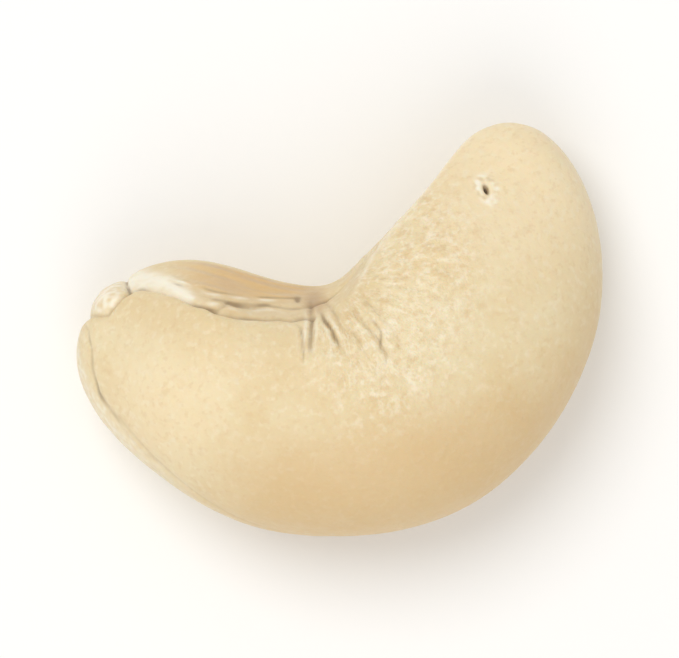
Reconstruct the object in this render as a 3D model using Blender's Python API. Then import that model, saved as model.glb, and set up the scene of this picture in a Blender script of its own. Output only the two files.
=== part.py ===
"""A shelled, blanched cashew kernel lying on its side, as one closed solid.

Frame: metres, +Z up. X runs along the kernel from its root end (-X) to its round end (+X), +Y points
to the hollow side of the bend, and the floor is z = 0, under the middle of the kernel's box.

The seed is one swollen, bent body. A ball is stretched along a bent middle line and pressed flat on
the hollow side of the bend. Its low relief follows: the crease along the flat, the bevelled root tip
with its fork, the pleats that fan out from the inside of the bend, a pit, and the seam all round.
"""

import math

import bmesh
import bpy
import numpy as np

MM = 0.001

# Stations along the middle line, at even steps from the root end to the round end.
STATION_STEPS = np.linspace(-1.0, 1.0, 9)
MIDDLE_X_MM = (-12.13, -10.7, -8.32, -5.17, -0.62, 3.71, 7.98, 10.8, 11.96)
MIDDLE_Y_MM = (6.99, 5.0, 2.43, -0.36, -2.11, -1.01, 1.83, 5.05, 8.37)
MIDDLE_Z_MM = (4.36, 3.93, 5.2, 5.68, 5.79, 5.68, 5.1, 3.97, 4.5)
HALF_WIDTH_MM = (4.9, 5.74, 6.37, 6.63, 6.71, 7.33, 7.12, 6.3, 4.83)
HALF_THICKNESS_MM = (4.9, 5.2, 5.7, 5.85, 5.9, 5.85, 5.6, 5.2, 4.9)
# The way from the middle line to the hollow side, as a turn in plan from +Y towards +X.
LEAN_DEG = (52.8, 41.0, 30.7, 20.0, 2.5, -13.7, -26.0, -34.9, -53.9)
# How far the flat on the hollow side turns up, and where it cuts the section, as a share of its half.
TWIST_DEG = (25.0, 23.0, 23.0, 21.0, 12.0, 2.0, -2.0, -4.0, -4.0)
FLAT_AT = (0.92, 0.89, 0.87, 0.87, 0.88, 0.86, 0.83, 0.86, 0.92)
FLAT_EDGE = 0.03
# Over 2 makes the section fuller than an ellipse, and over 0 makes the ends blunter.
SECTION_POWER = 2.15
BLUNTNESS = 0.22

# The bevel across the root tip: the way it faces, its distance from the origin, its rounded edge.
BEVEL_FACING = (-0.42, 0.50, 0.757)
BEVEL_AT_MM = 13.2
BEVEL_EDGE_MM = 0.12

# Grooves of the upper face: corners in plan, then half width and depth.
CREASE_MM = (
    (-13.4, 6.7),
    (-12.1, 6.75),
    (-11.2, 6.45),
    (-10.8, 6.65),
    (-10.25, 7.05),
    (-9.8, 7.3),
    (-9.1, 7.15),
    (-8.3, 6.7),
    (-7.5, 6.05),
    (-6.1, 4.8),
    (-4.9, 4.0),
    (-3.7, 3.45),
    (-2.5, 3.0),
    (-1.5, 2.85),
)
CREASE_SIZE_MM = (0.32, 0.26)
STEM_MM = ((-9.8, 7.3), (-9.85, 7.7), (-9.95, 8.25), (-10.1, 9.5))
STEM_SIZE_MM = (0.3, 0.28)
RIM_MM = ((-12.65, 6.75), (-12.5, 6.1), (-12.6, 5.2), (-12.9, 4.2), (-13.05, 3.1), (-12.95, 1.9))
RIM_SIZE_MM = (0.3, 0.08)
PLEATS_MM = (
    ((-1.3, 3.6), (-1.6, 2.9), (-1.9, 2.25), (-2.5, 0.9)),
    ((-1.2, 3.4), (-1.05, 2.6), (-0.8, 1.95), (-0.8, 0.8)),
    ((-0.7, 3.5), (-0.35, 2.4), (-0.2, 1.6)),
    ((-0.1, 2.4), (0.25, 0.9), (0.5, -0.4)),
    ((0.3, 3.3), (0.7, 2.0), (1.1, 0.8), (1.4, -0.5)),
    ((0.9, 3.6), (1.6, 1.9), (2.0, 0.9), (2.2, -0.2)),
)
PLEAT_HALF_WIDTH_MM = 0.28
PLEAT_DEPTHS_MM = (0.28, 0.26, 0.16, 0.10, 0.16, 0.10)
PIT_MM = (8.86, 5.9)
PIT_SIZE_MM = (0.32, 0.32)
PIT_RIM_MM = (0.7, 0.3, 0.04)
# Two pleats on the under face, opposite those above.
UNDER_PLEATS_MM = (
    ((-0.2, 3.8), (-0.5, 2.4), (-0.6, 1.2)),
    ((0.7, 3.8), (1.1, 2.5), (1.5, 1.4)),
)
UNDER_PLEAT_SIZE_MM = (0.35, 0.22)
# The relief fades out where the skin turns from looking up to looking down, over this much of its
# normal's height; a tapered groove keeps this share of its length clear of its very ends.
TURN_EDGE = 0.35
TAPER_END = 0.02

# The seam between the seed leaves: its height in the section at each station, as a share of the half
# thickness, on the hollow side and on the outer one. Then half width and depth, and where along the
# middle line each begins at the root end and stops at the round end. Nearer the root the crease and
# the rim line take its place.
INNER_SEAM = (0.3, 0.3, 0.35, 0.3, 0.08, -0.08, -0.05, 0.05, 0.1)
INNER_SEAM_SIZE_MM = (0.45, 0.25)
INNER_SEAM_FROM_TO = (-0.14, 0.95)
OUTER_SEAM = (1.0, 0.93, 0.79, 0.55, 0.15, -0.1, -0.2, -0.3, -0.3)
OUTER_SEAM_SIZE_MM = (0.35, 0.10)
OUTER_SEAM_FROM_TO = (-0.82, 0.95)
SEAM_FADE = 0.12

# Squares of the ball's grid along X, Y and Z, and the pull that makes them smaller up and inwards.
GRID = (50, 22, 22)
GRID_PULL = (0.0, 0.12, 0.08)
SNAP_MM = 0.03

KERNEL_COLOUR = (0.83, 0.68, 0.44, 1.0)
KERNEL_ROUGHNESS = 0.5


def spline(values, at):
    """A natural cubic spline through the values at the stations, read at the given places."""
    values = np.asarray(values, float)
    count = len(STATION_STEPS)
    gap = STATION_STEPS[1] - STATION_STEPS[0]
    matrix = np.eye(count)
    right = np.zeros(count)
    for i in range(1, count - 1):
        matrix[i, i - 1 : i + 2] = (1.0, 4.0, 1.0)
        right[i] = 6.0 * (values[i + 1] - 2.0 * values[i] + values[i - 1]) / gap**2
    bend = np.linalg.solve(matrix, right)
    i = np.clip(((at - STATION_STEPS[0]) / gap).astype(int), 0, count - 2)
    after = (at - STATION_STEPS[i]) / gap
    before = 1.0 - after
    straight = before * values[i] + after * values[i + 1]
    curved = (before**3 - before) * bend[i] + (after**3 - after) * bend[i + 1]
    return straight + curved * gap**2 / 6.0


def soft_over(amount, edge):
    """Nought below nought, the amount itself above it, and a rounded corner between."""
    return edge * np.logaddexp(0.0, amount / edge)


def hump(away, half_width):
    return np.exp(-((away / half_width) ** 2))


def to_line(points, corners):
    """The distance in plan from each point to a line of corners, and how far along it that is."""
    corners = np.asarray(corners, float)
    lengths = np.hypot(*np.diff(corners, axis=0).T)
    nearest = np.full(len(points), np.inf)
    place = np.zeros(len(points))
    done = 0.0
    for start, end, length in zip(corners[:-1], corners[1:], lengths):
        run = (end - start) / length
        along = np.clip((points[:, :2] - start) @ run, 0.0, length)
        away = np.hypot(*(points[:, :2] - start - along[:, None] * run).T)
        nearer = away < nearest
        nearest[nearer] = away[nearer]
        place[nearer] = (done + along[nearer]) / lengths.sum()
        done += length
    return nearest, place


def groove(points, corners, size, tapered):
    half_width, depth = size
    away, place = to_line(points, corners)
    place = np.clip(place, TAPER_END, 1.0 - TAPER_END)
    fade = np.sqrt(np.sin(np.pi * place)) if tapered else 1.0
    return depth * fade * hump(away, half_width)


def body_points(ball):
    """Moves the points of a unit ball to the kernel's body, and gives the depth of its seam there."""
    t = ball[:, 0] + BLUNTNESS * ball[:, 0] * (1.0 - ball[:, 0] ** 2)
    middle = [spline(v, t) for v in (MIDDLE_X_MM, MIDDLE_Y_MM, MIDDLE_Z_MM)]
    point = np.stack(middle, axis=1)
    lean = np.radians(spline(LEAN_DEG, t))
    twist = np.radians(spline(TWIST_DEG, t))
    width = spline(HALF_WIDTH_MM, t)
    thickness = spline(HALF_THICKNESS_MM, t)

    # The round section becomes a fuller one, and the flat presses in its hollow side.
    radius = np.hypot(ball[:, 1], ball[:, 2])
    safe = np.maximum(radius, 1e-6)
    across = np.where(radius > 1e-6, ball[:, 1] / safe, 1.0)
    upward = ball[:, 2] / safe
    powers = np.abs(across) ** SECTION_POWER + np.abs(upward) ** SECTION_POWER
    across = across * powers ** (-1.0 / SECTION_POWER)
    upward = upward * powers ** (-1.0 / SECTION_POWER)
    facing = across * np.cos(twist) + upward * np.sin(twist)
    past = soft_over(facing - spline(FLAT_AT, t), FLAT_EDGE)
    across = radius * (across - past * np.cos(twist))
    upward = radius * (upward - past * np.sin(twist))
    point[:, 0] += np.sin(lean) * across * width
    point[:, 1] += np.cos(lean) * across * width
    point[:, 2] += upward * thickness

    side = upward * np.cos(twist) - across * np.sin(twist)
    inner = seam_groove(side, radius, thickness, t, INNER_SEAM, INNER_SEAM_SIZE_MM, INNER_SEAM_FROM_TO)
    outer = seam_groove(side, radius, thickness, t, OUTER_SEAM, OUTER_SEAM_SIZE_MM, OUTER_SEAM_FROM_TO)
    return point, np.where(facing > 0.0, inner, outer)


def seam_groove(side, radius, thickness, t, heights, size, reach):
    half_width, depth = size
    away = (side - radius * spline(heights, t)) * thickness
    begun = np.clip((t - reach[0]) / SEAM_FADE, 0.0, 1.0)
    left = np.clip((reach[1] - t) / SEAM_FADE, 0.0, 1.0)
    return depth * begun * left * hump(away, half_width)


def bevel_tip(point):
    facing = np.array(BEVEL_FACING) / np.linalg.norm(BEVEL_FACING)
    past = soft_over(point @ facing - BEVEL_AT_MM, BEVEL_EDGE_MM)
    return point - past[:, None] * facing


def relief(point, normal):
    """The depth of the low relief: the upper face's where the skin looks up, the under face's below."""
    sunk = groove(point, CREASE_MM, CREASE_SIZE_MM, False)
    sunk += groove(point, STEM_MM, STEM_SIZE_MM, False)
    sunk += groove(point, RIM_MM, RIM_SIZE_MM, True)
    for corners, depth in zip(PLEATS_MM, PLEAT_DEPTHS_MM):
        sunk += groove(point, corners, (PLEAT_HALF_WIDTH_MM, depth), True)
    away = np.hypot(point[:, 0] - PIT_MM[0], point[:, 1] - PIT_MM[1])
    rim_at, rim_half_width, rim_height = PIT_RIM_MM
    sunk += PIT_SIZE_MM[1] * hump(away, PIT_SIZE_MM[0])
    sunk -= rim_height * hump(away - rim_at, rim_half_width)
    looks_up = np.clip(normal[:, 2] / TURN_EDGE + 1.0, 0.0, 1.0)
    sunk *= looks_up**2 * (3.0 - 2.0 * looks_up)
    looks_down = np.clip(-normal[:, 2] / TURN_EDGE, 0.0, 1.0)
    for corners in UNDER_PLEATS_MM:
        sunk += looks_down * groove(point, corners, UNDER_PLEAT_SIZE_MM, True)
    return sunk


def ball_mesh():
    """A ball of squares made from a box: three sets of cuts, then every point set on the ball."""
    mesh = bmesh.new()
    bmesh.ops.create_cube(mesh, size=2.0)
    for axis, squares in enumerate(GRID):
        along = []
        for edge in mesh.edges:
            run = edge.verts[1].co - edge.verts[0].co
            if abs(run[axis]) > 0.5 * run.length:
                along.append(edge)
        bmesh.ops.subdivide_edges(mesh, edges=along, cuts=squares - 1, use_grid_fill=True)
    for vert in mesh.verts:
        for axis in range(3):
            vert.co[axis] = math.tan(vert.co[axis] * math.pi / 4.0)
        vert.co.normalize()
        for axis in range(3):
            vert.co[axis] += GRID_PULL[axis]
        vert.co.normalize()
    return mesh


def place_points(mesh, points_mm):
    for vert, place in zip(mesh.verts, points_mm):
        vert.co = place * MM
    mesh.normal_update()


def cut_rest(mesh):
    """Cuts the belly level with the floor, so that the kernel rests on three small flats."""
    bmesh.ops.bisect_plane(
        mesh,
        geom=list(mesh.verts) + list(mesh.edges) + list(mesh.faces),
        dist=SNAP_MM * MM,
        plane_co=(0.0, 0.0, 0.0),
        plane_no=(0.0, 0.0, 1.0),
        use_snap_center=True,
        clear_inner=True,
    )
    rim = [edge for edge in mesh.edges if edge.is_boundary]
    bmesh.ops.holes_fill(mesh, edges=rim, sides=0)
    bmesh.ops.recalc_face_normals(mesh, faces=mesh.faces)


def build_kernel():
    mesh = ball_mesh()
    ball = np.array([vert.co for vert in mesh.verts])
    point, seam = body_points(ball)
    point = bevel_tip(point)
    place_points(mesh, point)
    if mesh.calc_volume(signed=True) < 0.0:
        bmesh.ops.reverse_faces(mesh, faces=mesh.faces)
        mesh.normal_update()
    normal = np.array([vert.normal for vert in mesh.verts])
    point = point - normal * (relief(point, normal) + seam)[:, None]
    place_points(mesh, point)
    cut_rest(mesh)
    data = bpy.data.meshes.new("kernel")
    mesh.to_mesh(data)
    mesh.free()
    data.shade_smooth()
    return bpy.data.objects.new("kernel", data)


def kernel_material():
    material = bpy.data.materials.new("kernel_flesh")
    material.use_nodes = True
    shader = material.node_tree.nodes["Principled BSDF"]
    shader.inputs["Base Color"].default_value = KERNEL_COLOUR
    shader.inputs["Roughness"].default_value = KERNEL_ROUGHNESS
    shader.inputs["Metallic"].default_value = 0.0
    return material


def main():
    for old in list(bpy.data.objects):
        bpy.data.objects.remove(old)
    parts = bpy.data.collections.new("cashew_kernel")
    bpy.context.scene.collection.children.link(parts)
    kernel = build_kernel()
    kernel.data.materials.append(kernel_material())
    parts.objects.link(kernel)


main()
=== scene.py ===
# %% [markdown]
# # A shelled cashew kernel
#
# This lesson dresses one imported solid, the kernel of a cashew, for a close studio picture. A kernel is
# a plump seed bent like a bean. It has been taken out of its shell and its skin rubbed off, so what
# shows is pale, waxy flesh with a few fine creases. The solid is already the right size and shape, but
# its facets are about 0.4 mm across, which is too coarse for creases as thin as a hair. So the lesson
# grows a finer skin from the same measurements, draws the small marks on it, and gives it its flesh.

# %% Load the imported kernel
import math

import bmesh
import bpy
import numpy as np
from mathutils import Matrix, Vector, noise


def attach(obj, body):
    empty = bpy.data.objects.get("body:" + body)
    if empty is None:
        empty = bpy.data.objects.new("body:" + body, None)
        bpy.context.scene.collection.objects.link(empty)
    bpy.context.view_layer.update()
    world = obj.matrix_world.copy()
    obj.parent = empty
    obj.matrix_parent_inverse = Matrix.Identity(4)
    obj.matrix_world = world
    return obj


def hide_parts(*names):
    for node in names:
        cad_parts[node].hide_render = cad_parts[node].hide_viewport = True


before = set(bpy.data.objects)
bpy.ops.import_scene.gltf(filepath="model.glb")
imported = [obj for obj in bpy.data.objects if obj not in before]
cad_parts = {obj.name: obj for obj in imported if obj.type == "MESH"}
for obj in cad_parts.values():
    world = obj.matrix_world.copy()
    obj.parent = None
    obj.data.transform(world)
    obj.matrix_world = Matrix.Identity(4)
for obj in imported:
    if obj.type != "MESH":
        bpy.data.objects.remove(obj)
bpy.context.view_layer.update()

MM = 0.001

# %% [markdown]
# ## The bent middle line
#
# A kernel could be sculpted by hand or subdivided from a rough cage, but its outline has to stay the
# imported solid's. So the skin is worked out from the same nine stations along a bent middle line. At
# each station there is a place, a half width, a half thickness, and the way to the hollow side. A
# smooth curve through the nine values gives every place in between.

# %% Stations of the middle line
STATION_STEPS = np.linspace(-1.0, 1.0, 9)
MIDDLE_X_MM = (-12.13, -10.7, -8.32, -5.17, -0.62, 3.71, 7.98, 10.8, 11.96)
MIDDLE_Y_MM = (6.99, 5.0, 2.43, -0.36, -2.11, -1.01, 1.83, 5.05, 8.37)
MIDDLE_Z_MM = (4.36, 3.93, 5.2, 5.68, 5.79, 5.68, 5.1, 3.97, 4.5)
HALF_WIDTH_MM = (4.9, 5.74, 6.37, 6.63, 6.71, 7.33, 7.12, 6.3, 4.83)
HALF_THICKNESS_MM = (4.9, 5.2, 5.7, 5.85, 5.9, 5.85, 5.6, 5.2, 4.9)
LEAN_DEG = (52.8, 41.0, 30.7, 20.0, 2.5, -13.7, -26.0, -34.9, -53.9)
TWIST_DEG = (25.0, 23.0, 23.0, 21.0, 12.0, 2.0, -2.0, -4.0, -4.0)
FLAT_AT = (0.92, 0.89, 0.87, 0.87, 0.88, 0.86, 0.83, 0.86, 0.92)


def spline(values, at):
    """A natural cubic spline through the values at the stations, read at the given places."""
    values = np.asarray(values, float)
    count = len(STATION_STEPS)
    gap = STATION_STEPS[1] - STATION_STEPS[0]
    matrix = np.eye(count)
    right = np.zeros(count)
    for i in range(1, count - 1):
        matrix[i, i - 1 : i + 2] = (1.0, 4.0, 1.0)
        right[i] = 6.0 * (values[i + 1] - 2.0 * values[i] + values[i - 1]) / gap**2
    bend = np.linalg.solve(matrix, right)
    i = np.clip(((at - STATION_STEPS[0]) / gap).astype(int), 0, count - 2)
    after = (at - STATION_STEPS[i]) / gap
    before = 1.0 - after
    straight = before * values[i] + after * values[i + 1]
    curved = (before**3 - before) * bend[i] + (after**3 - after) * bend[i + 1]
    return straight + curved * gap**2 / 6.0


print("half width halfway to the round end, mm:", spline(HALF_WIDTH_MM, np.array([0.5])))

# %% [markdown]
# ## A ball of small squares
#
# The skin starts as a ball, because a ball is closed and has no edges. Blender's own UV sphere would
# gather its faces at two poles. A box cut into squares and blown up into a ball has none, and its long
# side can carry more cuts than its short ones, which suits a long seed.

# %% Cut a box and blow it into a ball
GRID = (214, 92, 92)
GRID_PULL = (0.0, 0.12, 0.08)


def ball_of_squares():
    """A box cut into squares, with its points pushed out to a ball."""
    mesh = bmesh.new()
    bmesh.ops.create_cube(mesh, size=2.0)
    for axis, squares in enumerate(GRID):
        along = []
        for edge in mesh.edges:
            run = edge.verts[1].co - edge.verts[0].co
            if abs(run[axis]) > 0.5 * run.length:
                along.append(edge)
        bmesh.ops.subdivide_edges(mesh, edges=along, cuts=squares - 1, use_grid_fill=True)
    for vert in mesh.verts:
        for axis in range(3):
            vert.co[axis] = math.tan(vert.co[axis] * math.pi / 4.0)
        vert.co.normalize()
        for axis in range(3):
            vert.co[axis] += GRID_PULL[axis]
        vert.co.normalize()
    return mesh


skin = ball_of_squares()
ball = np.array([vert.co for vert in skin.verts])
print("ball:", len(skin.verts), "points,", len(skin.faces), "squares")

# %% [markdown]
# ## Stretch the ball into the seed
#
# Each point of the ball slides to its station and spreads out from the middle line. The section is a
# little fuller than an ellipse, because the two seed leaves inside press outwards. On the hollow side
# of the bend the seed is flat, and the flat turns up towards the root end. The same step notes where
# the flat is, because it is coloured tan and greyer, partly its own colour and partly painted shadow.

# %% The body of the seed
SECTION_POWER = 2.15
BLUNTNESS = 0.22
FLAT_EDGE = 0.03


def soft_over(amount, edge):
    """Nought below nought, the amount itself above it, and a rounded corner between."""
    return edge * np.logaddexp(0.0, amount / edge)


def smooth_step(value, low, high):
    """0 up to low, 1 from high on, and a soft slope between."""
    share = np.clip((value - low) / (high - low), 0.0, 1.0)
    return share * share * (3.0 - 2.0 * share)


place = ball[:, 0] + BLUNTNESS * ball[:, 0] * (1.0 - ball[:, 0] ** 2)
lean = np.radians(spline(LEAN_DEG, place))
twist = np.radians(spline(TWIST_DEG, place))
thickness = spline(HALF_THICKNESS_MM, place)
radius = np.hypot(ball[:, 1], ball[:, 2])
across = np.where(radius > 1e-6, ball[:, 1] / np.maximum(radius, 1e-6), 1.0)
upward = ball[:, 2] / np.maximum(radius, 1e-6)
fuller = (np.abs(across) ** SECTION_POWER + np.abs(upward) ** SECTION_POWER) ** (-1.0 / SECTION_POWER)
across, upward = across * fuller, upward * fuller
facing = across * np.cos(twist) + upward * np.sin(twist)
past = soft_over(facing - spline(FLAT_AT, place), FLAT_EDGE)
on_flat = smooth_step(past, 0.015, 0.06)
across = radius * (across - past * np.cos(twist))
upward = radius * (upward - past * np.sin(twist))
side = upward * np.cos(twist) - across * np.sin(twist)

body = np.stack([spline(v, place) for v in (MIDDLE_X_MM, MIDDLE_Y_MM, MIDDLE_Z_MM)], axis=1)
body[:, 0] += np.sin(lean) * across * spline(HALF_WIDTH_MM, place)
body[:, 1] += np.cos(lean) * across * spline(HALF_WIDTH_MM, place)
body[:, 2] += upward * thickness
print("body, mm:", np.ptp(body, axis=0).round(2))

# %% [markdown]
# ## Bevel the root tip
#
# The root lies at one end, under a small slanted face that is whiter than the rest. A plane pushes the
# points that stand past it back to itself. A Boolean would cut a hard edge here, and the real edge is
# soft, so the push is eased in.

# %% The slanted face
BEVEL_FACING = (-0.42, 0.50, 0.757)
BEVEL_AT_MM = 13.2
BEVEL_EDGE_MM = 0.12

bevel_facing = np.array(BEVEL_FACING) / np.linalg.norm(BEVEL_FACING)
over_bevel = soft_over(body @ bevel_facing - BEVEL_AT_MM, BEVEL_EDGE_MM)
on_bevel = smooth_step(over_bevel, 0.06, 0.3)
body = body - over_bevel[:, None] * bevel_facing


def set_skin(points_mm):
    """Moves the skin to these points and gives the way that it faces at each."""
    for vert, point in zip(skin.verts, points_mm):
        vert.co = point * MM
    skin.normal_update()
    return np.array([vert.normal for vert in skin.verts])


outward = set_skin(body)
if skin.calc_volume(signed=True) < 0.0:
    bmesh.ops.reverse_faces(skin, faces=skin.faces)
    outward = set_skin(body)
print("points on the slanted face:", int((on_bevel > 0.5).sum()))

# %% [markdown]
# ## Creases, pleats, pit and seam
#
# The marks are lines drawn on the seed as seen from above, and each sinks the skin along its length.
# Sculpting them would do as well, but a list of corners is easy to move and gives the same result each
# time. Three tools do all of it: a hump, a wandering noise, and a mark along a line. Each line is read
# at slightly shaken places, which keeps it from looking ruled.

# %% Tools for drawing marks
def hump(away, half_width):
    """1 at no distance, about a third at the half width, and next to nothing at twice that."""
    return np.exp(-((away / half_width) ** 2))


def wander(points, size_mm, seed):
    """Smooth noise from about -1 to 1 at each point, changing over the given size."""
    shift = Vector((seed * 7.3, seed * 3.1, seed * 5.7))
    return np.array([noise.noise(Vector(p) / size_mm + shift) for p in points])


SHAKE_MM = 0.10
SHAKE_SIZE_MM = 0.9
TAPER_END = 0.02

shaky = body.copy()
shaky[:, 0] += SHAKE_MM * wander(body, SHAKE_SIZE_MM, 1)
shaky[:, 1] += SHAKE_MM * wander(body, SHAKE_SIZE_MM, 2)


def to_line(corners):
    """The distance in plan from each point to a line of corners, and how far along it that is."""
    corners = np.asarray(corners, float)
    lengths = np.hypot(*np.diff(corners, axis=0).T)
    nearest = np.full(len(shaky), np.inf)
    share = np.zeros(len(shaky))
    done = 0.0
    for start, end, length in zip(corners[:-1], corners[1:], lengths):
        run = (end - start) / length
        along = np.clip((shaky[:, :2] - start) @ run, 0.0, length)
        away = np.hypot(*(shaky[:, :2] - start - along[:, None] * run).T)
        nearer = away < nearest
        nearest[nearer] = away[nearer]
        share[nearer] = (done + along[nearer]) / lengths.sum()
        done += length
    return nearest, share


def mark(corners, half_width, depth, tapered=True):
    """How deep a groove along a line of corners is at each point. A tapered one has shallow ends."""
    away, share = to_line(corners)
    fade = np.sqrt(np.sin(np.pi * np.clip(share, TAPER_END, 1.0 - TAPER_END))) if tapered else 1.0
    return depth * fade * hump(away, half_width)


looks_up = smooth_step(outward[:, 2], -0.35, 0.0)
looks_down = smooth_step(-outward[:, 2], 0.0, 0.35)


def near(spot, size_mm):
    """How near each point that looks up is to a spot in plan, from 0 to 1."""
    return hump(np.hypot(body[:, 0] - spot[0], body[:, 1] - spot[1]), size_mm) * looks_up


print("points that look up:", int((looks_up > 0.5).sum()))

# %% [markdown]
# ### The long crease
#
# Below the flat runs a crease, where the two seed leaves meet on the side that looks up. At the root
# end it forks round the root tip, which swells a little. The crease is two grooves laid over each
# other: a soft valley like the imported solid's, and a narrow cut down its middle. One wide groove would
# look pressed in by a finger. The cut is darkened with painted shade, which comes and goes, so that it
# doesn't look drawn.

# %% The long crease and the fork at the root tip
CREASE_MM = (
    (-13.4, 6.75),
    (-12.1, 6.85),
    (-11.2, 6.6),
    (-10.8, 6.8),
    (-10.25, 7.2),
    (-9.8, 7.45),
    (-9.1, 7.3),
    (-8.3, 6.85),
    (-7.5, 6.2),
    (-6.1, 4.95),
    (-4.9, 4.2),
    (-3.7, 3.65),
    (-2.5, 3.2),
    (-1.5, 2.95),
)
STEM_MM = ((-9.8, 7.45), (-9.85, 7.8), (-9.95, 8.3), (-10.1, 9.5))
VALLEY_MM, CUT_MM = 0.28, 0.10
CREASE_VALLEY_DEPTH_MM, CREASE_CUT_DEPTH_MM = 0.11, 0.12
STEM_VALLEY_DEPTH_MM, STEM_CUT_DEPTH_MM = 0.13, 0.15
SWELLING_MM = (-11.2, 7.8)
SWELLING_SIZE_MM, SWELLING_HEIGHT_MM = 0.9, 0.25

valley = mark(CREASE_MM, VALLEY_MM, CREASE_VALLEY_DEPTH_MM, tapered=False)
valley += mark(STEM_MM, VALLEY_MM, STEM_VALLEY_DEPTH_MM, tapered=False)
cut = mark(CREASE_MM, CUT_MM, CREASE_CUT_DEPTH_MM, tapered=False)
cut += mark(STEM_MM, CUT_MM, STEM_CUT_DEPTH_MM, tapered=False)
sunk = (valley + cut) * looks_up
sunk -= SWELLING_HEIGHT_MM * near(SWELLING_MM, SWELLING_SIZE_MM)
uneven = np.clip(0.7 + 0.5 * wander(body, 0.8, 8), 0.15, 1.0)
under_strip = smooth_step(body[:, 0], -9.3, -8.6) * (1.0 - smooth_step(body[:, 0], -7.6, -6.8))
left_of_fork = smooth_step(-body[:, 0], 10.3, 11.2)
fainter = 1.0 - 0.6 * under_strip - 0.35 * left_of_fork
# Painted shade: the cut of the crease and the stem is darkened, fainter in places.
shade = uneven * fainter * cut * looks_up / STEM_CUT_DEPTH_MM
print("deepest crease, mm:", sunk.max().round(2))

# %% [markdown]
# ### Beside the crease
#
# Just above the crease the skin of the flat is ruffled into short ridges and hollows, with painted
# highlight on the ridges and painted shade in the hollows, so they show as pale and dark dashes. They
# could be drawn one by one, but stripes that keep the crease's own shape, bent and broken by noise,
# give the same look with a few lines, and they move with the crease.

# %% The ruffles above the crease
RUFFLE_GAP_MM = 0.42
RUFFLE_DEPTH_MM = 0.04

crease_x, crease_y = np.array(CREASE_MM).T
above = 0.8 * (body[:, 1] - np.interp(body[:, 0], crease_x, crease_y))
in_band = smooth_step(above, 0.08, 0.2) * (1.0 - smooth_step(above, 0.75, 1.15)) * looks_up
in_band *= smooth_step(body[:, 0], -8.0, -7.0) * (1.0 - smooth_step(body[:, 0], -2.2, -1.4))
wavy = 2.2 * wander(body, 1.6, 12)
patchy = np.clip(0.45 + 1.3 * wander(body * np.array([1.0, 1.6, 1.0]), 1.0, 14), 0.0, 1.0)
ruffle = in_band * patchy * np.cos(2.0 * math.pi * (above - 0.05) / RUFFLE_GAP_MM + wavy)
sunk += RUFFLE_DEPTH_MM * ruffle
# Painted shade in the hollows of the ruffles; their ridges get painted highlight with the pale parts.
shade += 0.9 * np.clip(ruffle, 0.0, 1.0)
print("ruffled share of the skin:", (in_band > 0.5).mean().round(3))

# %% [markdown]
# ### A second line, the rim lines and a speck
#
# A finer line runs beside the crease. Two hair lines follow the rim at the root end, where the far
# seed leaf shows past the near one. A dark speck sits where the crease meets the bend. These are
# single marks with places of their own, so each is drawn by its corners.

# %% The second line, the rim lines and the speck
SECOND_LINE_MM = ((-7.3, 5.85), (-6.5, 5.35), (-5.9, 4.9), (-5.25, 5.0), (-4.6, 4.6), (-3.2, 3.95))
RIM_MM = ((-12.65, 6.75), (-12.5, 6.1), (-12.6, 5.2), (-12.9, 4.2), (-13.05, 3.1), (-12.95, 1.9))
RIM_LINE_MM = ((-12.95, 4.0), (-13.0, 3.0), (-12.8, 1.8), (-12.4, 0.5), (-11.8, -0.8), (-10.9, -2.3))
SPECK_MM = (-1.97, 3.95)
SPECK_SIZE_MM = 0.13
LINE_DEPTH_MM, RIM_DEPTH_MM, RIM_LINE_DEPTH_MM = 0.08, 0.04, 0.02

second = mark(SECOND_LINE_MM, 0.10, LINE_DEPTH_MM)
rim = mark(RIM_MM, 0.26, RIM_DEPTH_MM)
rim_cut = mark(RIM_MM, 0.09, RIM_DEPTH_MM) + mark(RIM_LINE_MM, 0.08, RIM_LINE_DEPTH_MM)
from_speck = np.hypot(shaky[:, 0] - SPECK_MM[0], shaky[:, 1] - SPECK_MM[1])
speck = LINE_DEPTH_MM * hump(from_speck, SPECK_SIZE_MM)
sunk += (second + rim + rim_cut + speck) * looks_up
lines_dark = (0.6 * second / LINE_DEPTH_MM + 0.75 * rim_cut / RIM_DEPTH_MM) * uneven
shade += (lines_dark + speck / LINE_DEPTH_MM) * looks_up
print("deepest line, mm:", sunk.max().round(2))

# %% [markdown]
# ### The pleats
#
# Where the seed bends, its inner side has been squeezed, so short folds fan out from there. The
# clearest ones are given one by one. A pleat is a soft fold with a narrow cut in it, darkened with
# painted shade, and the skin beside it is a little raised, with painted highlight on it. Two finer
# twins run beside the clear ones, and two faint pleats go on under the bend.

# %% The pleats that fan out from the bend
PLEATS_MM = (
    ((-1.35, 3.6), (-1.58, 3.0), (-1.8, 2.4), (-2.05, 1.73), (-2.25, 1.15)),
    ((-1.1, 3.0), (-0.97, 2.5), (-0.8, 1.95), (-0.8, 0.8)),
    ((-0.7, 3.5), (-0.35, 2.4), (-0.2, 1.6)),
    ((-0.1, 2.4), (0.25, 0.9), (0.5, -0.4)),
    ((0.3, 3.3), (0.7, 2.0), (1.1, 0.8), (1.4, -0.5)),
    ((0.9, 3.6), (1.6, 1.9), (2.0, 0.9), (2.2, -0.2)),
)
PLEAT_DEPTHS_MM = (0.28, 0.26, 0.16, 0.10, 0.16, 0.10)
PLEAT_DARKNESS = (1.0, 1.0, 0.35, 0.3, 0.3, 0.3)
TWIN_PLEATS_MM = (
    ((-2.45, 3.0), (-2.25, 2.55), (-2.3, 2.0), (-2.55, 1.3), (-2.8, 0.7)),
    ((1.15, 1.9), (1.4, 1.0), (1.15, 0.3), (1.3, -0.2), (0.85, -0.9)),
)
UNDER_PLEATS_MM = (
    ((-0.2, 3.8), (-0.5, 2.4), (-0.6, 1.2)),
    ((0.7, 3.8), (1.1, 2.5), (1.5, 1.4)),
)
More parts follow.
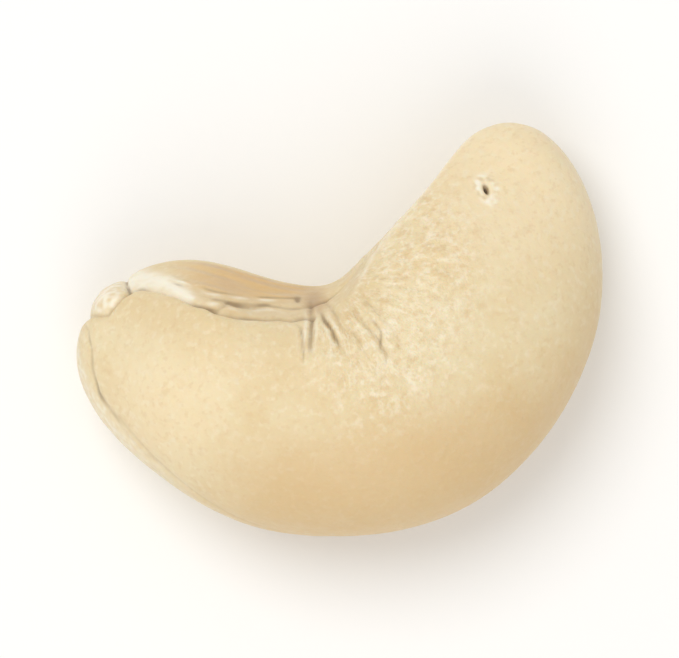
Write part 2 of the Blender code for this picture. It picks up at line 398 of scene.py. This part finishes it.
FOLD_MM, FOLD_SHARE = 0.26, 0.22
PLEAT_CUT_MM, PLEAT_CUT_SHARE = 0.10, 0.40
TWIN_MM, TWIN_DEPTH_MM = 0.09, 0.05
UNDER_PLEAT_MM, UNDER_PLEAT_DEPTH_MM = 0.30, 0.2
EDGE_MM, EDGE_HEIGHT_MM = 0.10, 0.015


def raised_highlit_edges(corners):
    """The two raised edges of a pleat, from 0 to 1, which also carry painted highlight."""
    away, share = to_line(corners)
    return np.sin(np.pi * share) * hump(away - FOLD_MM, EDGE_MM) * looks_up


edges = np.zeros(len(body))
for corners, depth, darkness in zip(PLEATS_MM, PLEAT_DEPTHS_MM, PLEAT_DARKNESS):
    narrow = mark(corners, PLEAT_CUT_MM, PLEAT_CUT_SHARE * depth) * looks_up
    sunk += narrow + mark(corners, FOLD_MM, FOLD_SHARE * depth) * looks_up
    # Painted shade in the pleat's cut; its raised edges are kept for painted highlight.
    shade += 1.3 * darkness * uneven * narrow / (PLEAT_CUT_SHARE * depth)
    edges = np.maximum(edges, darkness * raised_highlit_edges(corners))
for corners in TWIN_PLEATS_MM:
    twin = mark(corners, TWIN_MM, TWIN_DEPTH_MM) * looks_up
    sunk += twin
    # Painted shade in the twin's cut.
    shade += 0.7 * uneven * twin / TWIN_DEPTH_MM
    edges = np.maximum(edges, 0.5 * raised_highlit_edges(corners))
sunk -= EDGE_HEIGHT_MM * edges
for corners in UNDER_PLEATS_MM:
    sunk += mark(corners, UNDER_PLEAT_MM, UNDER_PLEAT_DEPTH_MM) * looks_down
print("deepest pleat, mm:", sunk.max().round(2))

# %% [markdown]
# ### Fine pleats
#
# Finer pleats lie between and beyond the clear ones. There are too many to place by eye, so they
# follow a random fan. Its seed is fixed, so that the picture is the same each time.

# %% A random fan of fine pleats
FAN_FROM_MM = (-0.6, 4.6)
FINE_PLEATS = 26
FAN_START_DEG, FAN_SPREAD_DEG, FAN_SHAKE_DEG = -128.0, 96.0, 3.0
FINE_DARKNESS_MM = 0.30

chance = np.random.default_rng(5)
for number in range(FINE_PLEATS):
    fan_turn = FAN_START_DEG + FAN_SPREAD_DEG * number / (FINE_PLEATS - 1.0)
    turn = math.radians(fan_turn + chance.uniform(-FAN_SHAKE_DEG, FAN_SHAKE_DEG))
    start = chance.uniform(1.6, 3.4)
    length = chance.uniform(0.8, 2.0)
    way = np.array([math.cos(turn), math.sin(turn)])
    sideways = np.array([-way[1], way[0]]) * chance.uniform(-0.12, 0.12)
    first = np.array(FAN_FROM_MM) + way * start
    corners = (first, first + way * 0.5 * length + sideways, first + way * length)
    fine = mark(corners, PLEAT_CUT_MM, chance.uniform(0.02, 0.05)) * looks_up
    sunk += fine
    # Painted shade in the fine pleat's cut.
    shade += fine / FINE_DARKNESS_MM
print("fine pleats:", FINE_PLEATS)

# %% [markdown]
# ### Crinkles
#
# Past the pleats the skin stays crinkled for a few millimetres. Noise makes these, stretched along the
# fan: it is read by direction and distance from the bend, so each crinkle points back to the bend. The
# material reads the same places again, for pale squiggles that are too fine for the skin's squares.

# %% Crinkles that spread from the bend
CRINKLE_HEIGHT_MM = 0.045

from_bend = body[:, :2] - np.array(FAN_FROM_MM)
reach = np.hypot(*from_bend.T)
heading = np.arctan2(from_bend[:, 1], from_bend[:, 0])
fan_place = np.stack([heading * 9.0, reach * 0.8, body[:, 2] * 0.8], axis=1)
crinkle = wander(fan_place, 1.0, 9) + 0.5 * wander(body, 0.6, 10)
crinkled = smooth_step(reach, 1.2, 3.0) * (1.0 - smooth_step(reach, 4.5, 10.0)) * looks_up
crinkled *= smooth_step(body[:, 0], -3.5, 0.5)
sunk -= CRINKLE_HEIGHT_MM * crinkled * crinkle
print("share of the skin that is crinkled:", crinkled.mean().round(2))

# %% [markdown]
# ### The pit
#
# A tiny hole marks the round lobe, with a slightly raised edge and a broken ring of pale and dark
# flecks round it. The hole is darkened with painted shade. A Boolean could cut the hole, but pushing
# the skin in keeps it in one piece.

# %% The pit and its ring
PIT_MM = (8.86, 5.9)
PIT_SIZE_MM = (0.55, 1.2)
RING_SIZE_MM = (0.6, 0.85)
PIT_DEPTH_MM, PIT_EDGE_HEIGHT_MM = 0.34, 0.02
FLECK_MM = 0.28


def from_pit(size_mm):
    """The distance from the pit, where 1 is an oval with these half widths."""
    return np.hypot((shaky[:, 0] - PIT_MM[0]) / size_mm[0], (shaky[:, 1] - PIT_MM[1]) / size_mm[1])


pit = hump(from_pit(PIT_SIZE_MM), 0.20)
pit_edge = hump(from_pit(PIT_SIZE_MM) - 0.55, 0.25)
ring = looks_up * hump(from_pit(RING_SIZE_MM) - 0.75, 0.32)
flecks = wander(body, FLECK_MM, 13)
sunk += looks_up * (PIT_DEPTH_MM * pit - PIT_EDGE_HEIGHT_MM * pit_edge)
# Painted shade in the hole.
shade += looks_up * 2.4 * pit
shade += 0.45 * np.clip(-1.4 * flecks, 0.0, 1.0) * ring
print("deepest mark, mm:", sunk.max().round(2))

# %% [markdown]
# ### The seam
#
# All round the seed runs the seam between the two seed leaves: deep along the hollow side, and hardly
# more than a line along the outer one. It isn't level, so its height is given station by station, and
# it fades out where the crease or the slanted face takes over.

# %% The seam between the seed leaves
INNER_SEAM = (0.3, 0.3, 0.35, 0.3, 0.08, -0.08, -0.05, 0.05, 0.1)
OUTER_SEAM = (1.0, 0.93, 0.79, 0.55, 0.15, -0.1, -0.2, -0.3, -0.3)
SEAM_FADE = 0.12


def seam_place(heights, start, stop, shake):
    """The distance from the seam, and how much of it there is, from its start to its stop."""
    away = (side - radius * spline(heights, place)) * thickness + shake
    begun = np.clip((place - start) / SEAM_FADE, 0.0, 1.0)
    return away, begun * np.clip((stop - place) / SEAM_FADE, 0.0, 1.0)


inner, inner_kept = seam_place(INNER_SEAM, -0.14, 0.95, 0.06 * wander(body, 1.3, 3))
outer, outer_kept = seam_place(OUTER_SEAM, -0.82, 0.95, 0.08 * wander(body, 2.0, 4))
inner_seam = inner_kept * (0.14 * hump(inner, 0.45) + 0.11 * hump(inner, 0.14))
outer_seam = outer_kept * (0.05 * hump(outer, 0.36) + 0.03 * hump(outer, 0.10))
sunk += np.where(facing > 0.0, inner_seam, outer_seam)
inner_dark = 0.7 * inner_kept * hump(inner, 0.16)
outer_dark = 0.3 * outer_kept * hump(outer, 0.11)
shade += np.where(facing > 0.0, inner_dark, outer_dark)
print("deepest seam, mm:", inner_seam.max().round(2), outer_seam.max().round(2))

# %% [markdown]
# ### The lip and the streaks of the flat
#
# On the round lobe the flat ends in a thin lip that catches the light. On the root lobe the flat has
# fine streaks that run along it: noise again, stretched by reading it far more finely across the flat
# than along it.

# %% Lip and streaks
LIP_AT, LIP_WIDTH, LIP_HEIGHT_MM = 0.56, 0.05, 0.04
STREAK_DEPTH_MM = 0.02

height_share = side / np.maximum(radius, 0.05)
on_round_lobe = smooth_step(place, 0.05, 0.25) * (1.0 - smooth_step(place, 0.75, 0.95))
on_root_lobe = smooth_step(-place, -0.1, 0.15)
lip = on_round_lobe * (facing > 0.0) * hump(height_share - LIP_AT, LIP_WIDTH)
streak = wander(np.stack([place * 5.0, side * 16.0, 0.0 * place], axis=1), 1.0, 11)
sunk += on_root_lobe * on_flat * STREAK_DEPTH_MM * streak - LIP_HEIGHT_MM * lip
print("lip points:", int((lip > 0.5).sum()))

# %% [markdown]
# ## Gentle dents
#
# No seed is perfectly even. Two sizes of smooth noise raise and lower the skin by a few hundredths of
# a millimetre, which is enough to break up the light. The whole skin is set in by a hair, so that its
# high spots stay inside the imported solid's box.

# %% Uneven skin
SKIN_INSET_MM = 0.025
BROAD_DENT_MM, SMALL_DENT_MM = 0.035, 0.012

dents = BROAD_DENT_MM * wander(body, 3.1, 6) + SMALL_DENT_MM * wander(body, 1.1, 7)
surface = body - outward * (sunk + dents + SKIN_INSET_MM)[:, None]
set_skin(surface)
print("skin, mm:", np.ptp(surface, axis=0).round(2))

# %% [markdown]
# ## Where the flesh changes colour, and where light and shade are painted
#
# Some numbers stay with every point of the skin, for the material to read. Colour attributes painted
# by hand would do the same, but these come from the marks themselves, so they always fit them. The
# palest parts are the root tip, a mottled strip that leads from it along the crease and the ring of
# the pit, which are paler flesh, and the rim of the far seed leaf, the lip and the raised edges of
# the pleats and ruffles, which get painted highlight.

# %% How pale each point is
STRIP_MM = ((-9.6, 7.9), (-8.72, 7.6), (-7.93, 7.05), (-7.26, 6.3), (-6.55, 5.6), (-5.83, 5.0))
LEFT_TIP_MM = (-11.0, 7.4)
LEFT_TIP_SIZE_MM = 1.5

from_strip, strip_share = to_line(STRIP_MM)
strip = hump(from_strip, 0.55 - 0.3 * strip_share) * (1.0 - smooth_step(-above, 0.0, 0.25)) * looks_up
speckle = np.clip(0.6 + 0.6 * flecks, 0.0, 1.0)
strip *= 1.0 - smooth_step(strip_share, 0.55, 1.0)
strip *= np.clip(0.95 + 0.4 * wander(body, 0.45, 15), 0.6, 1.0)
above_crease = smooth_step(above, -0.1, 0.15)
pale_and_highlight = np.maximum(strip, speckle * near(LEFT_TIP_MM, LEFT_TIP_SIZE_MM) * above_crease)
pale_and_highlight += np.clip(0.65 + 1.2 * flecks, 0.1, 1.0) * ring
# Painted highlight on the lip, on the raised edges of the pleats and on the ridges of the ruffles.
pale_and_highlight += 0.5 * lip + 0.6 * edges + 0.7 * np.clip(-ruffle, 0.0, 1.0)
# Painted highlight on the rim of the far seed leaf, where it looks up.
far_leaf_highlight = smooth_step(-outer, 0.05, 0.3) * (facing < 0.0) * smooth_step(-place, 0.3, 0.7)
far_leaf_highlight *= smooth_step(outward[:, 2], -0.25, 0.2)
pale_and_highlight += 0.65 * speckle * far_leaf_highlight
print("palest:", pale_and_highlight.max().round(2), "mean:", pale_and_highlight.mean().round(3))

# %% [markdown]
# ### Tan, grey, painted shade and painted light
#
# The flat is tan with greyer streaks, partly its own colour and partly painted shadow that grows
# towards its upper edge. The notch of the bend gets the same tan and grey, with painted shade that
# makes it darker too. The outer side of the bend gets painted shade in tan. The tops of both lobes
# get painted light, so they are lighter than the middle. Each number is then stored as a layer of the
# skin, under the name that the material asks for.

# %% Tan, grey and shade, and the layers of the skin
NOTCH_MM = (-1.2, 3.6)
ROUND_LOBE_MM, ROUND_LOBE_SIZE_MM = (11.0, 6.0), 6.0
ROOT_LOBE_MM, ROOT_LOBE_SIZE_MM = (-9.8, 1.4), 3.8

# The flat's tan: partly its own colour and partly painted shadow, stronger towards its upper edge.
flat = on_flat * on_root_lobe * smooth_step(place, -0.85, -0.35)
flat *= 0.4 + 0.6 * smooth_step(above, 0.5, 1.3)
# Painted light on the tops of both lobes.
round_lobe_light = near(ROUND_LOBE_MM, ROUND_LOBE_SIZE_MM)
root_lobe_light = 0.7 * near(ROOT_LOBE_MM, ROOT_LOBE_SIZE_MM)
to_round = smooth_step(place, 0.1, 0.5)
along_bend = smooth_step(place, -0.6, -0.1) - 0.6 * smooth_step(place, 0.4, 0.8)
layers = {
    # The notch of the bend gets painted shade here, in the tan and in the grey.
    "crease_shade": np.clip(shade + 0.42 * near(NOTCH_MM, 0.8), 0.0, 2.0),
    "tip_pale_and_highlight": np.clip(pale_and_highlight, 0.0, 1.0),
    "flat_tan_and_shadow": np.clip(np.maximum(flat, 0.9 * near(NOTCH_MM, 0.8)), 0.0, 1.0),
    "flat_grey_and_shade": np.clip(np.maximum(0.45 + 0.9 * streak, near(NOTCH_MM, 1.0)), 0.0, 1.0),
    # Painted shade in tan on the outer side of the bend.
    "outer_shade_tan": smooth_step(-across - 0.5 * to_round, -0.15, 0.65) * along_bend,
    "lobe_painted_light": np.maximum(round_lobe_light, root_lobe_light),
    "crinkled": crinkled,
}
for name, values in layers.items():
    layer = skin.verts.layers.float.new(name)
    for vert, value in zip(skin.verts, values):
        vert[layer] = float(value)
    print(name, "mean", values.mean().round(3))
layer = skin.verts.layers.float_vector.new("fan_place")
for vert, value in zip(skin.verts, fan_place):
    vert[layer] = Vector(value)

# %% [markdown]
# ## The rest
#
# The kernel lies on three small flats, one under the bend and one under each end. They are cut level
# with the floor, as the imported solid's are, and each cut is filled with a face. Then the skin becomes
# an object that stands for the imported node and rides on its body.

# %% Cut the belly level and make the kernel
SNAP_MM = 0.03

bmesh.ops.bisect_plane(
    skin,
    geom=list(skin.verts) + list(skin.edges) + list(skin.faces),
    dist=SNAP_MM * MM,
    plane_co=(0.0, 0.0, 0.0),
    plane_no=(0.0, 0.0, 1.0),
    use_snap_center=True,
    clear_inner=True,
)
bmesh.ops.holes_fill(skin, edges=[edge for edge in skin.edges if edge.is_boundary], sides=0)
bmesh.ops.recalc_face_normals(skin, faces=skin.faces)
kernel_data = bpy.data.meshes.new("kernel_flesh")
skin.to_mesh(kernel_data)
skin.free()
kernel_data.shade_smooth()
kernel = bpy.data.objects.new("kernel_flesh", kernel_data)
bpy.context.scene.collection.objects.link(kernel)
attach(kernel, "root")
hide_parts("kernel")
print("kernel:", len(kernel_data.polygons), "faces")

# %% [markdown]
# ## The flesh
#
# Blanched cashew flesh is ivory, waxy and dull, and light sinks a little way into it. One Principled
# shader does it, with a little subsurface. Its nodes are placed by a few helpers: noise of a given
# size in millimetres, a way to spread a value over a new range, a number of the skin, a blend of two
# colours and a sum. Each takes and gives a socket, so they can be chained.

# %% Small helpers for the flesh
flesh = bpy.data.materials.new("cashew_flesh")
flesh.use_nodes = True
nodes, links = flesh.node_tree.nodes, flesh.node_tree.links
shader = nodes["Principled BSDF"]
where = nodes.new("ShaderNodeTexCoord")


def srgb(red, green, blue):
    """A colour as a screen shows it, 0 to 255, turned into the linear one that Blender mixes."""
    linear = []
    for value in (red, green, blue):
        value = value / 255.0
        linear.append(value / 12.92 if value <= 0.04045 else ((value + 0.055) / 1.055) ** 2.4)
    return (*linear, 1.0)


def noise_over(place_socket, scale, detail, roughness=0.5):
    """Noise read at the places that a socket gives."""
    texture = nodes.new("ShaderNodeTexNoise")
    texture.inputs["Scale"].default_value = scale
    texture.inputs["Detail"].default_value = detail
    texture.inputs["Roughness"].default_value = roughness
    links.new(place_socket, texture.inputs["Vector"])
    return texture.outputs["Fac"]


def cloud(size_mm, detail, roughness=0.5):
    """Smooth noise whose blotches are about this many millimetres across."""
    return noise_over(where.outputs["Object"], 1.0 / (size_mm * MM), detail, roughness)


def between(value, low, high, to_low=0.0, to_high=1.0):
    """Spreads the part of a value from low to high over the new range."""
    spread = nodes.new("ShaderNodeMapRange")
    spread.interpolation_type = "SMOOTHSTEP"
    ranges = {"From Min": low, "From Max": high, "To Min": to_low, "To Max": to_high}
    for socket, number in ranges.items():
        spread.inputs[socket].default_value = number
    links.new(value, spread.inputs["Value"])
    return spread.outputs["Result"]


def skin_number(name):
    """One of the numbers that the skin carries at each point."""
    read = nodes.new("ShaderNodeAttribute")
    read.attribute_name = name
    return read.outputs["Fac"]


def blend(share, first, second):
    """Mixes two colours, each a colour or a socket, by a share that is a number or a socket."""
    mix = nodes.new("ShaderNodeMix")
    mix.data_type = "RGBA"
    for socket, value in ((mix.inputs[0], share), (mix.inputs[6], first), (mix.inputs[7], second)):
        if isinstance(value, bpy.types.NodeSocket):
            links.new(value, socket)
        else:
            socket.default_value = value
    return mix.outputs[2]


def calculate(how, first, second):
    """Adds, multiplies and so on two values, each a number or a socket."""
    node = nodes.new("ShaderNodeMath")
    node.operation = how
    for socket, value in zip(node.inputs, (first, second)):
        if isinstance(value, bpy.types.NodeSocket):
            links.new(value, socket)
        else:
            socket.default_value = value
    return node.outputs[0]


print("flesh nodes so far:", len(nodes))

# %% [markdown]
# ### The colour of the flesh
#
# The colour starts from a soft mix of ivory and cream, then gets painted light on the tops of the
# lobes. Two sizes of tan blotches and one of pale spots break it up, and where the skin is crinkled
# they are stronger, with pale squiggles between. Last come the skin's own numbers: the tan of the
# flat with its painted shadow, painted shade in tan on the outer side of the bend, the pale parts with
# their painted highlight, and the painted shade in the creases, pleats, pit and other marks. A picture
# could hold all this, but would blur close up.

# %% The colour of the flesh
IVORY = srgb(232, 215, 175)
CREAM = srgb(227, 205, 160)
LOBE_LIT = srgb(244, 225, 186)
PALE_SPOT = srgb(243, 231, 203)
WARM_TAN_AND_SHADE = srgb(216, 183, 133)
FLAT_TAN_AND_SHADOW = srgb(223, 185, 124)
FLAT_GREY_AND_SHADE = srgb(208, 177, 140)
TIP_WHITE_AND_HIGHLIGHT = srgb(250, 243, 224)
CREASE_SHADE_BROWN = srgb(142, 116, 84)
DEEP_SHADE_BROWN = srgb(78, 58, 36)

crinkles = skin_number("crinkled")
colour = blend(between(cloud(4.5, 2.0), 0.35, 0.65), CREAM, IVORY)
# Painted light on the tops of the lobes.
colour = blend(between(skin_number("lobe_painted_light"), 0.0, 1.0, 0.0, 0.9), colour, LOBE_LIT)
fan = nodes.new("ShaderNodeAttribute")
fan.attribute_name = "fan_place"
fan_noise = noise_over(fan.outputs["Vector"], 1.3, 3.0)
from_middle = calculate("ABSOLUTE", calculate("SUBTRACT", fan_noise, 0.5), 0.0)
squiggle = between(from_middle, 0.0, 0.10, 0.55, 0.0)
broken = between(cloud(0.7, 3.0), 0.40, 0.62)
squiggle = calculate("MULTIPLY", squiggle, calculate("MULTIPLY", broken, between(crinkles, 0.0, 0.7)))
dull_share = between(crinkles, 0.0, 0.8, 0.08, 0.4)
dull = calculate("MULTIPLY", between(cloud(0.5, 3.0), 0.5, 0.66), dull_share)
colour = blend(between(cloud(0.9, 4.0, 0.6), 0.54, 0.74, 0.0, 0.18), colour, WARM_TAN_AND_SHADE)
spots_share = between(crinkles, 0.0, 0.6, 0.34, 0.7)
spots = calculate("MULTIPLY", between(cloud(0.38, 2.0), 0.50, 0.72), spots_share)
colour = blend(spots, colour, PALE_SPOT)
colour = blend(between(cloud(0.33, 2.0), 0.52, 0.72, 0.0, 0.24), colour, WARM_TAN_AND_SHADE)
colour = blend(dull, colour, WARM_TAN_AND_SHADE)
colour = blend(squiggle, colour, PALE_SPOT)
# Painted shade in tan on the outer side of the bend.
colour = blend(between(skin_number("outer_shade_tan"), 0.0, 1.0, 0.0, 0.7), colour, WARM_TAN_AND_SHADE)
# The flat's tan and grey, with painted shadow on the flat and painted shade in the notch.
flat_and_shadow_colour = blend(skin_number("flat_grey_and_shade"), FLAT_TAN_AND_SHADOW, FLAT_GREY_AND_SHADE)
colour = blend(between(skin_number("flat_tan_and_shadow"), 0.0, 1.0, 0.0, 0.85), colour, flat_and_shadow_colour)
# Paler flesh at the root tip, the strip and the pit's ring, with painted highlight on the lip, edges,
# ridges and far rim.
colour = blend(between(skin_number("tip_pale_and_highlight"), 0.0, 1.0, 0.0, 0.92), colour, TIP_WHITE_AND_HIGHLIGHT)
creases = skin_number("crease_shade")
# Painted shade in the creases, pleats, pit, notch and other marks, darkest in the pit.
colour = blend(between(creases, 0.05, 1.0, 0.0, 0.75), colour, CREASE_SHADE_BROWN)
colour = blend(between(creases, 1.0, 1.8, 0.0, 0.85), colour, DEEP_SHADE_BROWN)
links.new(colour, shader.inputs["Base Color"])
print("flesh colours mixed:", len(nodes), "nodes")

# %% [markdown]
# ### The surface of the flesh
#
# The skin's squares carry the creases and dents, but not the finest relief. Three bumps add it, one on
# top of the other: a broad unevenness, a fine orange peel, and the crinkles of the fan. The wax makes
# the flesh a little glossy, and unevenly so.

# %% The surface of the flesh
SUBSURFACE_DEPTH_MM = 0.9


def bump(height, depth_mm, before=None):
    """A bump whose full height is this many millimetres."""
    node = nodes.new("ShaderNodeBump")
    node.inputs["Distance"].default_value = depth_mm * MM
    node.inputs["Strength"].default_value = 1.0
    links.new(height, node.inputs["Height"])
    if before is not None:
        links.new(before, node.inputs["Normal"])
    return node.outputs["Normal"]


relief = bump(cloud(0.9, 2.0), 0.05)
grain = calculate("MULTIPLY", cloud(0.32, 2.0), between(crinkles, 0.0, 0.8, 0.35, 1.0))
relief = bump(grain, 0.09, relief)
relief = bump(calculate("MULTIPLY", fan_noise, crinkles), 0.12, relief)
links.new(relief, shader.inputs["Normal"])
links.new(between(cloud(0.6, 2.0), 0.3, 0.7, 0.42, 0.56), shader.inputs["Roughness"])
shader.inputs["Specular IOR Level"].default_value = 0.42
shader.inputs["Subsurface Weight"].default_value = 0.18
shader.inputs["Subsurface Radius"].default_value = (1.0, 0.55, 0.25)
shader.inputs["Subsurface Scale"].default_value = SUBSURFACE_DEPTH_MM * MM
kernel.data.materials.append(flesh)
print("flesh:", len(nodes), "nodes")

# %% [markdown]
# ## The studio
#
# The kernel lies on a plain white table. A backdrop that curves up behind would do as well, but from
# straight above only the table shows, so one flat square is enough.

# %% The table
TABLE_HALF_M = 1.5

table_data = bpy.data.meshes.new("table")
table_mesh = bmesh.new()
bmesh.ops.create_grid(table_mesh, x_segments=1, y_segments=1, size=TABLE_HALF_M)
table_mesh.to_mesh(table_data)
table_mesh.free()
table = bpy.data.objects.new("table", table_data)
bpy.context.scene.collection.objects.link(table)
table_white = bpy.data.materials.new("table_white")
table_white.use_nodes = True
table_shader = table_white.node_tree.nodes["Principled BSDF"]
table_shader.inputs["Base Color"].default_value = srgb(250, 249, 247)
table_shader.inputs["Roughness"].default_value = 0.8
table_shader.inputs["Specular IOR Level"].default_value = 0.1
table_data.materials.append(table_white)
print("table, m across:", 2.0 * TABLE_HALF_M)

# %% [markdown]
# ### The light
#
# A broad soft light comes from the upper left of the picture, and a wider, weaker one from below it
# lifts the shadow. A bright, even room fills in the rest. Smaller lights would show the creases more,
# but they would also put hard white spots on the wax.

# %% The light
PICTURE_TURN_DEG = 20.0


def in_picture(right, up):
    """The way along the table that runs this much to the right and up in the picture."""
    turn = math.radians(-PICTURE_TURN_DEG)
    return Vector(
        (
            right * math.cos(turn) - up * math.sin(turn),
            right * math.sin(turn) + up * math.cos(turn),
            0.0,
        )
    )


def soft_light(name, right, up, height, size, watts):
    """A round soft light over a place in the picture, turned to the kernel."""
    data = bpy.data.lights.new(name, "AREA")
    data.shape = "DISK"
    data.size = size
    data.energy = watts
    lamp = bpy.data.objects.new(name, data)
    bpy.context.scene.collection.objects.link(lamp)
    lamp.location = in_picture(right, up) + Vector((0.0, 0.0, height))
    lamp.rotation_euler = (-lamp.location).to_track_quat("-Z", "Y").to_euler()
    return lamp


soft_light("key", right=-0.14, up=0.17, height=0.46, size=0.30, watts=1.0)
soft_light("fill", right=0.02, up=-0.34, height=0.40, size=0.40, watts=0.6)
room = bpy.data.worlds.new("room")
bpy.context.scene.world = room
room.use_nodes = True
room.node_tree.nodes["Background"].inputs["Color"].default_value = (1.0, 0.995, 0.985, 1.0)
room.node_tree.nodes["Background"].inputs["Strength"].default_value = 0.6
bpy.context.scene.view_settings.view_transform = "Standard"
print("two soft lights and a bright room")

# %% [markdown]
# ### The camera
#
# The camera looks straight down, as the photograph's does. It is turned so that the kernel lies at the
# same slant, root end low on the left and round end high on the right. A long lens from further away
# keeps the outline true, and the distance is worked out from the kernel's own width in the picture.

# %% The camera
KERNEL_SHARE_OF_WIDTH = 0.78
LENS_MM, SENSOR_MM = 250.0, 36.0
OUTLINE_HEIGHT_MM = 6.0

points = np.array([vertex.co for vertex in kernel_data.vertices])
right_way, up_way = np.array(in_picture(1.0, 0.0)), np.array(in_picture(0.0, 1.0))
across_range = (points @ right_way).min(), (points @ right_way).max()
up_range = (points @ up_way).min(), (points @ up_way).max()
middle = right_way * sum(across_range) / 2.0 + up_way * sum(up_range) / 2.0
view_width = (across_range[1] - across_range[0]) / KERNEL_SHARE_OF_WIDTH
distance = view_width * LENS_MM / SENSOR_MM

camera_data = bpy.data.cameras.new("camera")
camera_data.lens = LENS_MM
camera_data.sensor_width = SENSOR_MM
camera_data.clip_start = 0.005
camera = bpy.data.objects.new("camera", camera_data)
bpy.context.scene.collection.objects.link(camera)
camera.location = Vector(middle) + Vector((0.0, 0.0, distance + OUTLINE_HEIGHT_MM * MM))
camera.rotation_euler = (0.0, 0.0, math.radians(-PICTURE_TURN_DEG))
bpy.context.scene.camera = camera
print("camera height, mm:", round(camera.location.z / MM, 1))
